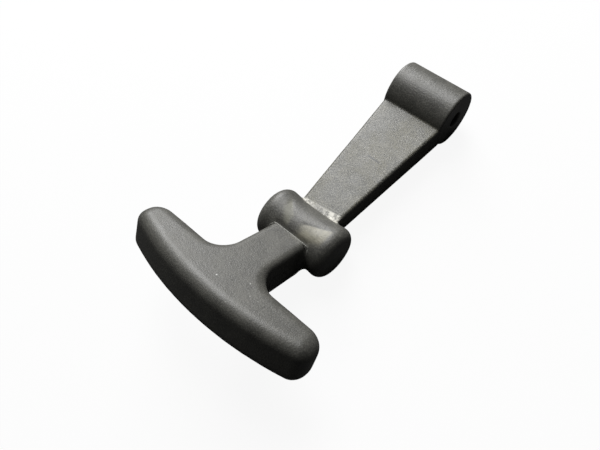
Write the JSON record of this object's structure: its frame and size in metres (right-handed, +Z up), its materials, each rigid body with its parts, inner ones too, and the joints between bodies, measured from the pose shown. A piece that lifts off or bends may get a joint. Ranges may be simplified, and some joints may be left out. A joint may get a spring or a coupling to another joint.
{
  "type": "rubber t-handle draw latch",
  "caption": "One-piece moulded rubber draw latch: a pin eye, a flat tapered strap, a waisted keeper bulb and a raised T-handle with a bowed crossbar.",
  "frame": {"origin": "middle of the pin bore, on its axis", "axes": "+X along the pin bore, -Y along the strap towards the T-handle, +Z up out of the strap's top face"},
  "size_m": [0.06, 0.1076, 0.0324],
  "materials": {
    "rubber": "matte moulded EPDM rubber with a fine pebbly grain"
  },
  "bodies": {
    "root": {"draw_latch": "rubber"}
  },
  "joints": []
}
